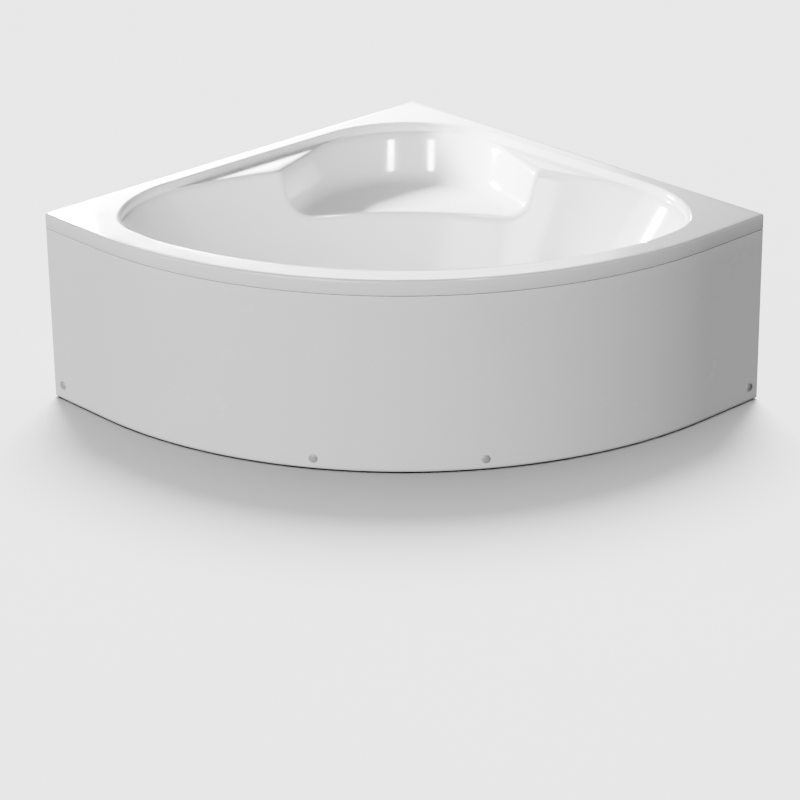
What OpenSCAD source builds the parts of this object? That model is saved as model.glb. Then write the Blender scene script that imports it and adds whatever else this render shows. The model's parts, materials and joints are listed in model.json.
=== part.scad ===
// Corner bathtub: a thin acrylic shell with a seat in its back corner, on a steel frame with levelling
// feet, behind a curved front panel. Lengths are in millimetres.
// The origin is on the floor under the middle of the outline. +Y points into the corner of the room,
// +Z up, and the plane X = 0 mirrors the tub.

/* [Outline] */
// Length of each side that stands against a wall
wall_side = 1500; // [1450:10:1550]
// Straight stretch of the front, square to the wall, before the bow starts
corner_straight = 250; // [220:5:280]
// Height of the deck above the floor
tub_height = 590; // [580:1:620]
// Height of the lip that hangs down from the deck
lip_height = 45; // [40:1:50]
// Round of the plan corners
corner_radius = 10; // [8:1:14]

/* [Shell] */
// Thickness of the acrylic shell
shell_t = 5; // [4:0.5:6]
// Depth of the basin, from the deck to the floor
basin_depth = 440; // [420:5:445]
// Depth of the seat below the deck
seat_depth = 155; // [140:5:170]
// Step down from the deck at the back
back_step = 22; // [18:1:26]
// Step down from the deck at the front
front_step = 8; // [6:1:12]
// Width over which a step comes down
step_run = 14; // [10:1:16]
// Width of the deck along the walls
deck_w = 46; // [44:1:50]
// Radius of both long arcs of the basin's edge
basin_arc = 1200; // [1180:5:1220]

/* [Panel] */
// Thickness of the front panel
panel_t = 4; // [3:0.5:5]
// Set-back of the panel behind the lip's face
panel_inset = 2.6; // [2:0.1:4]
// Gap between the floor and the panel
panel_gap = 4; // [3:0.5:8]
// Height of the panel's middle screws above the floor
screw_z = 34; // [32:1:56]
// Height of the panel's end screws above the floor
end_screw_z = 48; // [36:1:56]
// Distance of the middle screws from the mirror plane
middle_screw_x = 248; // [230:1:260]

/* [Frame] */
// Side of the square steel tube
tube_w = 25; // [25:1:28]
// Wall of the steel tube
tube_wall = 2; // [1.5:0.5:3]
// Height of the lower ends of the posts
post_foot_z = 40; // [38:1:44]
// Radius of the threaded foot studs
stud_r = 5; // [5:0.5:6]
// Thickness of the boards under floor, rim and seat
board_t = 18; // [16:1:18]

/* [Waste and overflow] */
// Radius of the waste's visible ring
waste_r = 40; // [36:1:42]
// Radius of the overflow's face plate
overflow_r = 38; // [36:1:42]
// Height of the overflow's centre
overflow_z = 480; // [470:5:490]
// Outer radius of the outlet pipe
outlet_r = 20; // [19.5:0.5:22]

/* [Hidden] */
$fn = 64;

// Plan sizes. Plan places are measured from the sharp corner of the room, so y is negative on the tub.
half_w = wall_side / sqrt(2);
front_r = wall_side - corner_straight;
front_c = -corner_straight * sqrt(2);
depth = front_r - front_c;
corner_cut = corner_radius * (sqrt(2) - 1);
corner_y = (depth + corner_cut) / 2;
hub_y = -half_w;
wall_n = [sqrt(0.5), sqrt(0.5)];
end_n = [sqrt(0.5), -sqrt(0.5)];

// Opening of the deck: a round top, straight along the walls, round ends and a bowed front
loop_top = -217;
loop_end_x = 842;
loop_end_y = -1073;
loop_shoulder_r = 400;
loop_front = -1556;
loop_front_r = 1067;
loop_top_r = (-loop_top - deck_w * sqrt(2)) / (sqrt(2) - 1);
loop_top_c = [0, loop_top - loop_top_r];
loop_front_c = [0, loop_front + loop_front_r];
loop_shoulder_c = [loop_end_x - loop_shoulder_r, loop_end_y];
loop_drop = loop_front_c.y - loop_end_y;
loop_end_r = (loop_front_r * loop_front_r - loop_end_x * loop_end_x - loop_drop * loop_drop)
  / (2 * (loop_front_r - loop_end_x));
loop_end_c = [loop_end_x - loop_end_r, loop_end_y];

// Basin: two long arcs crossed, cut off by the opening, over an oval floor
basin_back = -565;
basin_front = -1493;
floor_half_x = 560;
floor_half_y = 315;
floor_y = -1070;
floor_z = tub_height - basin_depth;
floor_round = 110;
floor_round_front = 66;

// Seat recess: an arch with legs that spread by leg_angle, wider at the ledge than at the seat
seat_z = tub_height - seat_depth;
leg_angle = 25;
arch_top = -231;
arch_r = 324;
seat_top = -357;
seat_r = 320;
seat_round = 95;

// Rounds of the deck's outer edge, of its inner edge and of the foot of the step
edge_round = 7;
deck_round = 4;
rim_round = 5;
// Height over which two surfaces flow into each other
blend = 20;
// A wall turns steeper just past its edge, so that it never lowers what lies above it
past_edge = 3;
past_slope = 4;
// Sine of a ray's angle where the recess starts, and where the floor's round starts to shrink
mouth_sin = 0.3;
front_sin = 0.6;
// Distances over which the slope of the surface is measured, and the steepest lean that counts
probe_r = 0.2;
probe_turn = 0.02;
most_lean = 4;
// Rings near the seat's nose, and the least plan widths of seat, recess wall, ledge and step
nose_rings = [-5, 3, 14];
least_seat = 24;
least_wall = 14;
least_ledge = 5;
least_step = 6;

// Distance from the hub to a shape's edge along angle a
function ray(a) = [cos(a), sin(a)];
function from_hub(p) = [p.x, p.y - hub_y];
function angle_of(p) = let (q = from_hub(p)) atan2(q.y, q.x);
function folded(a) = asin(sin(a));
function to_circle(a, c, r) =
  let (q = from_hub(c), b = q * ray(a)) b + sqrt(max(0, r * r - q * q + b * b));
function to_line(a, n, h) = let (k = n * ray(a)) k > 0.001 ? h / k : 1e5;
function clamp(v, lo, hi) = max(lo, min(hi, v));
function ease(v) = let (t = clamp(v, 0, 1)) t * t * (3 - 2 * t);
function soft_min(a, b, k) = let (h = max(k - abs(a - b), 0) / k) min(a, b) - h * h * k / 4;

// Outline of the deck, set in by d. One point at each plan corner is drawn in to stand for its round.
function outline(a, d = 0) =
  let (
    m = folded(a),
    wall_hit = to_line(m, wall_n, wall_side / 2 - d),
    end_hit = to_line(m, end_n, wall_side / 2 - d),
    bow_hit = to_circle(m, [0, front_c], front_r - d),
    straight = end_hit * cos(m) > (front_r - d) * sqrt(0.5),
    sharp = min(wall_hit, straight ? end_hit : bow_hit),
    at_corner = min(abs(m), abs(90 - m)) < 0.01
  ) at_corner ? sharp - max(0, corner_radius - d) * (sqrt(2) - 1) : sharp;

// Opening of the deck, set in by d
function opening(a, d = 0) =
  let (
    m = folded(a),
    tangent = from_hub([0, loop_front_c.y]) - from_hub(loop_end_c),
    front_dir = -tangent / norm(tangent),
    front_end = loop_front_c + (loop_front_r - d) * front_dir,
    side_end = [loop_end_x - d, loop_end_y],
    shoulder_end = loop_shoulder_c + (loop_shoulder_r - d) * wall_n,
    wall_end = loop_top_c + (loop_top_r - d) * wall_n
  )
  m < angle_of(front_end) ? to_circle(m, loop_front_c, loop_front_r - d)
  : m < angle_of(side_end) ? to_circle(m, loop_end_c, loop_end_r - d)
  : m < angle_of(shoulder_end) ? to_circle(m, loop_shoulder_c, loop_shoulder_r - d)
  : m < angle_of(wall_end) ? to_line(m, wall_n, -hub_y * sqrt(0.5) - deck_w - d)
  : to_circle(m, loop_top_c, loop_top_r - d);

// Edge of the basin at the ledge, and of its floor
function basin_edge(a) = min(
  to_circle(a, [0, basin_back - basin_arc], basin_arc),
  to_circle(a, [0, basin_front + basin_arc], basin_arc),
  opening(a, step_run));
function floor_edge(a) =
  let (
    u = [cos(a) / floor_half_x, sin(a) / floor_half_y],
    w = [0, (hub_y - floor_y) / floor_half_y],
    b = u * w
  ) (-b + sqrt(b * b - (u * u) * (w * w - 1))) / (u * u);

// Arch of the recess with its top at y = top and radius r
function arch(a, top, r) =
  let (
    m = folded(a),
    leg_n = ray(leg_angle),
    c = [0, top - r],
    turn = c + r * leg_n,
    on_leg = to_line(m, leg_n, from_hub(turn) * leg_n)
  ) m < angle_of(turn) ? on_leg : to_circle(m, c, r);

// Heights. The step is deep at the back and shallow at the front.
function step_at(a) = front_step + (back_step - front_step) * ease((sin(a) + mouth_sin) / (2 * mouth_sin));
function ledge_z(a) = tub_height - step_at(a);
function rise_start(edge, slope, round) = edge - round * tan(atan(slope) / 2);
function rise_stop(edge, slope, round) = rise_start(edge, slope, round) + round * sin(atan(slope));
function rise(r, edge, z, slope, round) =
  let (start = rise_start(edge, slope, round))
  r < start ? z
  : r > rise_stop(edge, slope, round) ? z + (r - edge) * slope
  : z + round - sqrt(round * round - pow(r - start, 2));
function beyond(r, edge) = past_slope * max(0, r - edge - past_edge);
function bowl_slope(a) = (ledge_z(a) - floor_z) / (basin_edge(a) - floor_edge(a));
function bowl_round(a) =
  floor_round + (floor_round_front - floor_round) * ease((-sin(a) - front_sin) / (1 - front_sin));
function height_at(a, r) =
  let (
    ledge = ledge_z(a),
    bowl = rise(r, floor_edge(a), floor_z, bowl_slope(a), bowl_round(a)) + beyond(r, basin_edge(a)),
    seat_edge = arch(a, seat_top, seat_r),
    arch_edge = arch(a, arch_top, arch_r),
    recess_slope = (ledge - seat_z) / (arch_edge - seat_edge),
    recess = rise(r, seat_edge, seat_z, recess_slope, seat_round) + beyond(r, arch_edge),
    inside = sin(a) > mouth_sin ? soft_min(bowl, recess, blend) : bowl,
    step_slope = step_at(a) / step_run,
    rim = rise(r, opening(a, step_run), ledge, step_slope, rim_round)
  ) soft_min(inside, soft_min(rim, tub_height, deck_round * step_slope), blend);

// Angles of the shell's rays: closer where the outline turns and at the mouth of the recess
half_turns = concat(
  [for (a = [-90 : 6 : -6]) a], [-3, -1, 0, 1, 3], [for (a = [7 : 6 : 37]) a],
  [for (a = [41 : 2 : 57]) a], [for (a = [61 : 5 : 81]) a], [85, 88, 89.4, 90]);
turns = concat(half_turns, [for (i = [len(half_turns) - 2 : -1 : 1]) 180 - half_turns[i]]);

// Radii of the rings along one ray, from the hub to the start of the deck's round edge
function ring_radii(a) =
  let (
    base = floor_edge(a),
    start = rise_start(base, bowl_slope(a), bowl_round(a)),
    bend = rise_stop(base, bowl_slope(a), bowl_round(a)) - start,
    edge = basin_edge(a),
    nose = base + (seat_z - floor_z) / bowl_slope(a),
    seat_start = nose + nose_rings[2],
    in_mouth = sin(a) > mouth_sin,
    seat_end = max(nose + least_seat, in_mouth ? arch(a, seat_top, seat_r) : 0),
    top_edge = max(edge, seat_end + least_wall, in_mouth ? arch(a, arch_top, arch_r) : 0),
    loop = max(opening(a, step_run), top_edge + least_ledge),
    deck = max(opening(a), loop + least_step)
  ) [
    start * 0.5, start, start + bend * 0.35, start + bend * 0.7, start + bend,
    nose + nose_rings[0], nose + nose_rings[1], seat_start, seat_start + (seat_end - seat_start) * 0.6,
    seat_end, seat_end + (top_edge - seat_end) * 0.35,
    top_edge - past_edge, top_edge + past_edge, loop, deck - deck_round / 2, deck + deck_round
  ];
function polar(a, r, z) = [r * cos(a), r * sin(a) + hub_y, z];
// Vertical thickness that gives the shell its true thickness on a lean
function drop_at(a, r) =
  let (
    here = height_at(a, r),
    along = (height_at(a, r + probe_r) - here) / probe_r,
    across = (height_at(a + probe_turn, r) - here) / (r * probe_turn * PI / 180)
  ) shell_t * min(most_lean, sqrt(1 + along * along + across * across));

module placed() {
  translate([0, corner_y, 0]) children();
}

module shell_solid() {
  n = len(turns);
  soft = edge_round * (1 - sqrt(0.5));
  radii = [for (a = turns) ring_radii(a)];
  inner_count = len(radii[0]);
  top_rings = [for (k = [0 : inner_count - 1])
    [for (i = [0 : n - 1]) polar(turns[i], radii[i][k], height_at(turns[i], radii[i][k]))]];
  edge_rings = [
    for (e = [[edge_round, 0], [soft, soft], [0, edge_round], [0, lip_height],
      [shell_t, lip_height], [shell_t, shell_t]])
      [for (a = turns) polar(a, outline(a, e[0]), tub_height - e[1])]];
  under_rings = [for (k = [inner_count - 1 : -1 : 0])
    [for (i = [0 : n - 1]) polar(turns[i], radii[i][k],
      height_at(turns[i], radii[i][k]) - drop_at(turns[i], radii[i][k]))]];
  rings = concat(top_rings, edge_rings, under_rings);
  ring_count = len(rings);
  points = concat([for (ring = rings) each ring], [polar(0, 0, floor_z), polar(0, 0, floor_z - shell_t)]);
  top_point = n * ring_count;
  strips = [for (k = [0 : ring_count - 2]) for (i = [0 : n - 1]) let (
    j = (i + 1) % n, p = k * n + i, q = k * n + j, s = (k + 1) * n + j, t = (k + 1) * n + i)
    each [[p, q, s], [p, s, t]]];
  caps = [for (i = [0 : n - 1]) let (j = (i + 1) % n)
    each [[top_point, j, i], [top_point + 1, (ring_count - 1) * n + i, (ring_count - 1) * n + j]]];
  polyhedron(points, concat(strips, caps), convexity = 10);
}

// Waste and overflow places
waste_y = -1285;
waste_bore_r = 26;
overflow_slope = atan((floor_y - floor_half_y - basin_front) / (basin_depth - front_step));
overflow_y = basin_front + (tub_height - front_step - overflow_z) * tan(overflow_slope);
overflow_bore_r = 20;
bore_reach = 20;

module at_overflow() {
  translate([0, overflow_y, overflow_z]) rotate([overflow_slope - 90, 0, 0]) children();
}

module tub_shell() {
  color("white") placed() difference() {
    shell_solid();
    translate([0, waste_y, floor_z - bore_reach]) cylinder(h = 2 * bore_reach, r = waste_bore_r);
    at_overflow() translate([0, 0, -bore_reach]) cylinder(h = 1.5 * bore_reach, r = overflow_bore_r);
  }
}

// Frames of reference for what stands along the outline.
// along_wall: X runs from the room's corner along the right wall, -Y into the tub.
module along_wall() {
  rotate([0, 0, -45]) children();
}
// at_end: X runs from the right plan corner along the straight front, -Y into the tub.
module at_end() {
  translate([half_w, -half_w, 0]) rotate([0, 0, -135]) children();
}
// at_bow: -Y points out of the bow at angle a from the middle, and Y = 0 lies on the lip's face.
module at_bow(a) {
  translate([0, front_c, 0]) rotate([0, 0, a]) translate([0, -front_r, 0]) children();
}
module both_sides() {
  children();
  mirror([1, 0, 0]) children();
}

// Boards and battens
hole_play = 0.05;
board_x = 470;
board_y = [-1225, -850];
board_cut = 140;
rail_top = floor_z - shell_t - board_t;
rim_z = tub_height - shell_t - board_t;
batten_w = 25;
batten_in = 7;
batten_end = 120;
front_batten = [14, 38];
front_batten_angle = 40;
pad_w = 90;
pad_in = 8;
seat_pad_size = [180, 120];
back_post_y = -110;
bracket_at = 750;
bracket_screw_in = batten_in + batten_w / 2;
wood_screw_r = 2.4;
wood_screw_grip = 12;
wood_screw_head = [5, 3];
seat_prop_y = -520;

module base_board() {
  color("burlywood") placed() translate([0, 0, rail_top]) linear_extrude(board_t) polygon([
    [-board_x, board_y[0] + board_cut], [-board_x + board_cut, board_y[0]],
    [board_x - board_cut, board_y[0]], [board_x, board_y[0] + board_cut],
    [board_x, board_y[1] - board_cut], [board_x - board_cut, board_y[1]],
    [-board_x + board_cut, board_y[1]], [-board_x, board_y[1] - board_cut]]);
}
module wall_batten() {
  color("burlywood") along_wall() difference() {
    translate([batten_end, -batten_in - batten_w, rim_z])
      cube([wall_side - 2 * batten_end, batten_w, board_t]);
    translate([bracket_at, -bracket_screw_in, rim_z - 1])
      cylinder(h = wood_screw_grip + 2, r = wood_screw_r + hole_play);
  }
}
module rim_batten_right() {
  placed() wall_batten();
}
module rim_batten_left() {
  placed() mirror([1, 0, 0]) wall_batten();
}
module rim_batten_front() {
  color("burlywood") placed() translate([0, front_c, rim_z]) rotate([0, 0, -90 - front_batten_angle])
    rotate_extrude(angle = 2 * front_batten_angle, $fn = 360)
      translate([front_r - front_batten[1], 0]) square([front_batten[1] - front_batten[0], board_t]);
}
module corner_pads() {
  color("burlywood") placed() {
    translate([0, back_post_y, rim_z]) rotate([0, 0, 45]) translate([-pad_w / 2, -pad_w / 2, 0])
      cube([pad_w, pad_w, board_t]);
    both_sides() at_end() translate([pad_in, -pad_w - pad_in, rim_z])
      cube([pad_w, pad_w, board_t]);
  }
}
module seat_pad() {
  color("burlywood") placed() translate([-seat_pad_size.x / 2, seat_prop_y - seat_pad_size.y / 2,
    seat_z - shell_t - board_t]) cube([seat_pad_size.x, seat_pad_size.y, board_t]);
}

// Steel frame
rail_y = -1062;
front_post_angle = asin(middle_screw_x / front_r);
front_post_in = 26;
rail_end_in = 75;
arm_end_in = 100;
end_post_u = 54;
end_post_v = 52.5;

module tube(length) {
  difference() {
    translate([-tube_w / 2, -tube_w / 2, 0]) cube([tube_w, tube_w, length]);
    translate([-tube_w / 2 + tube_wall, -tube_w / 2 + tube_wall, -1])
      cube([tube_w - 2 * tube_wall, tube_w - 2 * tube_wall, length + 2]);
  }
}
module bar(length) {
  translate([-tube_w / 2, -tube_w / 2, 0]) cube([tube_w, tube_w, length]);
}
module at_back_post() {
  translate([0, back_post_y, 0]) rotate([0, 0, 45]) children();
}
module at_end_post() {
  at_end() translate([end_post_u, -end_post_v, 0]) children();
}
module at_front_post() {
  at_bow(front_post_angle) translate([0, front_post_in + tube_w / 2, 0]) children();
}
module at_centre_leg() {
  translate([middle_screw_x, rail_y, 0]) children();
}
module post() {
  color("lightslategray") translate([0, 0, post_foot_z]) tube(rim_z - post_foot_z);
}
module post_back() {
  placed() at_back_post() post();
}
module post_right() {
  placed() at_end_post() post();
}
module post_left() {
  placed() mirror([1, 0, 0]) at_end_post() post();
}
module posts_front() {
  placed() both_sides() at_front_post() post();
}
module legs_centre() {
  color("lightslategray") placed() both_sides() at_centre_leg() translate([0, 0, post_foot_z])
    tube(rail_top - tube_w - post_foot_z);
}
module frame_cross_rail() {
  color("lightslategray") placed() difference() {
    translate([-half_w + rail_end_in, rail_y, rail_top - tube_w / 2]) rotate([0, 90, 0])
      tube(2 * (half_w - rail_end_in));
    both_sides() at_end_post() bar(tub_height);
  }
}
module frame_rear_arm() {
  color("lightslategray") placed() difference() {
    translate([0, rail_y + tube_w / 2, rail_top - tube_w / 2]) rotate([-90, 0, 0])
      tube(back_post_y - rail_y - tube_w / 2);
    at_back_post() bar(tub_height);
  }
}
module frame_front_arms() {
  color("lightslategray") placed() both_sides() difference() {
    translate([middle_screw_x, rail_y - tube_w / 2, rail_top - tube_w / 2]) rotate([90, 0, 0])
      tube(-front_c + front_r + rail_y - arm_end_in);
    at_front_post() bar(tub_height);
    at_front_post() translate([-arm_end_in / 2, -arm_end_in - tube_w / 2, 0])
      cube([arm_end_in, arm_end_in, tub_height]);
  }
}
module seat_prop() {
  color("lightslategray") placed() translate([0, seat_prop_y, rail_top])
    tube(seat_z - shell_t - board_t - rail_top);
}

// Levelling feet
nut_h = 14;
stud_top = 96;
pad_r = 20;
pad_h = 8;
lock_nut_h = 8;
lock_nut_r = stud_r * 1.8;
hex_z = 18;
hex_h = 6;
hex_r = stud_r * 1.5;
pad_floor = 4;
pad_cone_h = 8;
pad_cone_r = [pad_r * 0.8, stud_r + 4];

module at_each_foot() {
  at_back_post() children();
  both_sides() at_end_post() children();
  both_sides() at_front_post() children();
  both_sides() at_centre_leg() children();
}
module foot_nuts() {
  inner = tube_w - 2 * tube_wall;
  color("silver") placed() at_each_foot() difference() {
    translate([-inner / 2, -inner / 2, post_foot_z]) cube([inner, inner, nut_h]);
    translate([0, 0, post_foot_z - 1]) cylinder(h = nut_h + 2, r = stud_r + hole_play);
  }
}
module foot_lock_nuts() {
  color("silver") placed() at_each_foot() translate([0, 0, post_foot_z - lock_nut_h]) difference() {
    cylinder(h = lock_nut_h, r = lock_nut_r, $fn = 6);
    translate([0, 0, -1]) cylinder(h = lock_nut_h + 2, r = stud_r + hole_play);
  }
}
module foot_stud() {
  color("silver") {
    translate([0, 0, pad_floor]) cylinder(h = stud_top - pad_floor, r = stud_r);
    translate([0, 0, hex_z]) cylinder(h = hex_h, r = hex_r, $fn = 6);
  }
}
module foot_pad() {
  color("dimgray") difference() {
    union() {
      cylinder(h = pad_h, r = pad_r);
      translate([0, 0, pad_h]) cylinder(h = pad_cone_h, r1 = pad_cone_r[0], r2 = pad_cone_r[1]);
    }
    translate([0, 0, pad_floor]) cylinder(h = pad_h + pad_cone_h, r = stud_r + hole_play);
  }
}
module foot_stud_back() { placed() at_back_post() foot_stud(); }
module foot_pad_back() { placed() at_back_post() foot_pad(); }
module foot_stud_right() { placed() at_end_post() foot_stud(); }
module foot_pad_right() { placed() at_end_post() foot_pad(); }
module foot_stud_left() { placed() mirror([1, 0, 0]) at_end_post() foot_stud(); }
module foot_pad_left() { placed() mirror([1, 0, 0]) at_end_post() foot_pad(); }
module foot_stud_front_right() { placed() at_front_post() foot_stud(); }
module foot_pad_front_right() { placed() at_front_post() foot_pad(); }
module foot_stud_front_left() { placed() mirror([1, 0, 0]) at_front_post() foot_stud(); }
module foot_pad_front_left() { placed() mirror([1, 0, 0]) at_front_post() foot_pad(); }
module foot_stud_centre_right() { placed() at_centre_leg() foot_stud(); }
module foot_pad_centre_right() { placed() at_centre_leg() foot_pad(); }
module foot_stud_centre_left() { placed() mirror([1, 0, 0]) at_centre_leg() foot_stud(); }
module foot_pad_centre_left() { placed() mirror([1, 0, 0]) at_centre_leg() foot_pad(); }

// Brackets that carry the lip on the walls
lip_z = tub_height - lip_height;
bracket_w = 40;
bracket_t = 3;
bracket_reach = 34;
bracket_drop = 65;
wall_hole_r = 4;
wall_hole_drop = 42;

module wall_bracket() {
  color("silver") along_wall() translate([bracket_at, 0, lip_z]) difference() {
    union() {
      translate([-bracket_w / 2, -bracket_t, -bracket_drop]) cube([bracket_w, bracket_t, bracket_drop]);
      translate([-bracket_w / 2, -bracket_reach, -bracket_t]) cube([bracket_w, bracket_reach, bracket_t]);
    }
    translate([0, 1, -wall_hole_drop]) rotate([90, 0, 0]) cylinder(h = bracket_t + 2, r = wall_hole_r);
    translate([0, -bracket_screw_in, -bracket_t - 1])
      cylinder(h = bracket_t + 2, r = wood_screw_r + 2 * hole_play);
  }
}
module wall_bracket_right() { placed() wall_bracket(); }
module wall_bracket_left() { placed() mirror([1, 0, 0]) wall_bracket(); }
module bracket_screws() {
  color("silver") placed() both_sides() along_wall()
    translate([bracket_at, -bracket_screw_in, lip_z - bracket_t]) {
      translate([0, 0, -wood_screw_head.y]) cylinder(h = wood_screw_head.y, r = wood_screw_head.x);
      cylinder(h = rim_z + wood_screw_grip - lip_z + bracket_t, r = wood_screw_r);
    }
}

// Front panel with turned-in edges, its clips, brackets, screws and caps
panel_top = lip_z - 2;
panel_end_gap = 3;
top_return = 20;
foot_return = 12;
clip_angles = [20, 36];
clip_w = 30;
clip_t = 2;
clip_drop = 14;
clip_finger = 10;
clip_play = 0.2;
screw_r = 2.4;
screw_grip = 8;
screw_head = [5, 2.5];
cap_room = [5.4, 3];
panel_back = panel_inset + panel_t;
plate_t = 3;
end_screw_u = 42;
plate_play = 0.2;
plate_top = 66;
front_plate_w = 32;
front_plate_low = screw_z - 9;
end_plate_w = 44.5;
end_plate_u = 22;
end_plate_low = 26;
cap_r = 13;
cap_h = 4.5;

// One band of the panel from depth d0 to d1 behind the lip's face. The bow and both straights share one
// frame, in which the places where they meet are round numbers, so that they meet exactly.
module panel_band(d0, d1, z0, z1) {
  straight = corner_straight - panel_end_gap;
  translate([0, front_c, z0]) rotate([0, 0, -135]) {
    rotate_extrude(angle = 90, $fn = 360) translate([front_r - d1, 0]) square([d1 - d0, z1 - z0]);
    translate([front_r - d1, -straight, 0]) cube([d1 - d0, straight, z1 - z0]);
    translate([-straight, front_r - d1, 0]) cube([straight, d1 - d0, z1 - z0]);
  }
}
module at_middle_screw() {
  at_bow(front_post_angle) translate([0, 0, screw_z]) rotate([-90, 0, 0]) children();
}
module at_end_screw() {
  at_end() translate([end_screw_u, 0, end_screw_z]) rotate([90, 0, 0]) children();
}
module at_each_screw() {
  both_sides() at_middle_screw() children();
  both_sides() at_end_screw() children();
}
module front_panel() {
  color("whitesmoke") placed() difference() {
    union() {
      panel_band(panel_inset, panel_back, panel_gap, panel_top);
      panel_band(panel_back, panel_inset + top_return, panel_top - panel_t, panel_top);
      panel_band(panel_back, panel_inset + foot_return, panel_gap, panel_gap + panel_t);
    }
    at_each_screw() cylinder(h = panel_back + screw_grip, r = screw_r + 0.2);
  }
}
module panel_clips() {
  behind = panel_inset + top_return + 3 * clip_play;
  color("silver") placed() both_sides() for (a = clip_angles) at_bow(a) {
    translate([-clip_w / 2, behind, panel_top - clip_drop])
      cube([clip_w, clip_t, rim_z - panel_top + clip_drop]);
    translate([-clip_w / 2, behind - clip_finger, panel_top - panel_t - clip_t - clip_play])
      cube([clip_w, clip_finger, clip_t]);
  }
}
module bracket_pair(width, web_x, reach, low, high, hole_x, hole_z) {
  difference() {
    union() {
      translate([0, panel_back + plate_play, low]) cube([width, plate_t, high - low]);
      translate([web_x, panel_back + plate_play, low])
        cube([plate_t, reach - panel_back - plate_play, high - low]);
    }
    translate([hole_x, 0, hole_z]) rotate([-90, 0, 0])
      cylinder(h = panel_back + plate_t + screw_grip, r = screw_r + hole_play);
  }
}
module panel_brackets() {
  screw_from_edge = front_plate_w / 2 + 4;
  color("silver") placed() both_sides() {
    at_bow(front_post_angle) translate([-screw_from_edge, 0, 0])
      bracket_pair(front_plate_w, front_plate_w - plate_t, front_post_in, front_plate_low, plate_top,
        screw_from_edge, screw_z);
    at_end() translate([end_plate_u, 0, 0]) mirror([0, 1, 0])
      bracket_pair(end_plate_w, end_plate_w - plate_t, end_post_v - tube_w / 2, end_plate_low, plate_top,
        end_screw_u - end_plate_u, end_screw_z);
  }
}
module panel_screws() {
  color("silver") placed() at_each_screw() {
    translate([0, 0, panel_inset - screw_head.y]) cylinder(h = screw_head.y, r = screw_head.x);
    translate([0, 0, panel_inset]) cylinder(h = panel_t + screw_grip, r = screw_r);
  }
}
module screw_caps() {
  color("lightgray") placed() at_each_screw() translate([0, 0, panel_inset]) mirror([0, 0, 1])
    rotate_extrude() polygon([
      [cap_room.x, 0], [cap_r, 0], [cap_r, 1], [cap_r - 1.2, 2.4], [cap_r - 4, cap_h - 0.8],
      [cap_r - 8, cap_h], [0, cap_h], [0, cap_room.y], cap_room]);
}

// Waste: ring, seals, cup below the floor, plug on a stem and the lever that lifts it
hub_r = 24;
hub_bore_r = 20;
hub_length = 34;
guide_low = 32;
guide_h = 8;
guide_w = 3;
guide_wall = 4;
stem_r = 4;
seal_t = 1.5;
ring_t = 2.5;
ring_edge_h = 0.8;
ring_slope_w = 2;
ring_dish = [5, 2];
ring_z = floor_z + seal_t;
plug_r = waste_r - 6;
plug_z = ring_z + ring_t + 0.3;
body_seal_t = 3;
body_flange_t = 6;
cup_r = 32;
cup_bore_r = 28;
cup_z = 56;
cup_wall = 4;
boss_r = 6;
boss_out = 6;
outlet_z = 78;
inlet_z = 96;
outlet_socket = [22, 18.05];
inlet_socket = [19.5, 16.05];
socket_end = 50;
under_z = floor_z - shell_t;
lever_y = -16;
lever_z = 88;
lever_t = 5;
lever_w = 6;
lever_back = 9;
lever_length = 25.5;
pin_r = 2;
pin_reach = 30;
pin_play = [0.02, 0.06];
lever_boss_r = 4.5;
stem_z = lever_z + lever_t / 2 + 0.8;
cable_r = 3;
cable_end_y = waste_y - 12;

module ring(outer, inner, low, high) {
  translate([0, 0, low]) difference() {
    cylinder(h = high - low, r = outer);
    translate([0, 0, -1]) cylinder(h = high - low + 2, r = inner);
  }
}
module at_waste() {
  translate([0, waste_y, 0]) children();
}
module waste_seal_top() {
  color("dimgray") placed() at_waste() ring(waste_r - 3, waste_bore_r, floor_z, ring_z);
}
module waste_flange() {
  color("silver") placed() at_waste() {
    rotate_extrude() polygon([
      [hub_bore_r, ring_z - hub_length], [hub_r, ring_z - hub_length], [hub_r, ring_z], [waste_r, ring_z],
      [waste_r, ring_z + ring_edge_h], [waste_r - ring_slope_w, ring_z + ring_t],
      [hub_bore_r + ring_dish.x, ring_z + ring_t], [hub_bore_r, ring_z + ring_t - ring_dish.y]]);
    ring(stem_r + guide_wall, stem_r + hole_play, ring_z - guide_low, ring_z - guide_low + guide_h);
    for (a = [0, 120, 240]) rotate([0, 0, a])
      translate([stem_r + guide_wall / 2, -guide_w / 2, ring_z - guide_low])
        cube([hub_bore_r + 1 - stem_r - guide_wall / 2, guide_w, guide_h]);
  }
}
module waste_seal_bottom() {
  color("dimgray") placed() at_waste() ring(waste_r - 4, waste_bore_r, under_z - body_seal_t, under_z);
}
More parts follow.
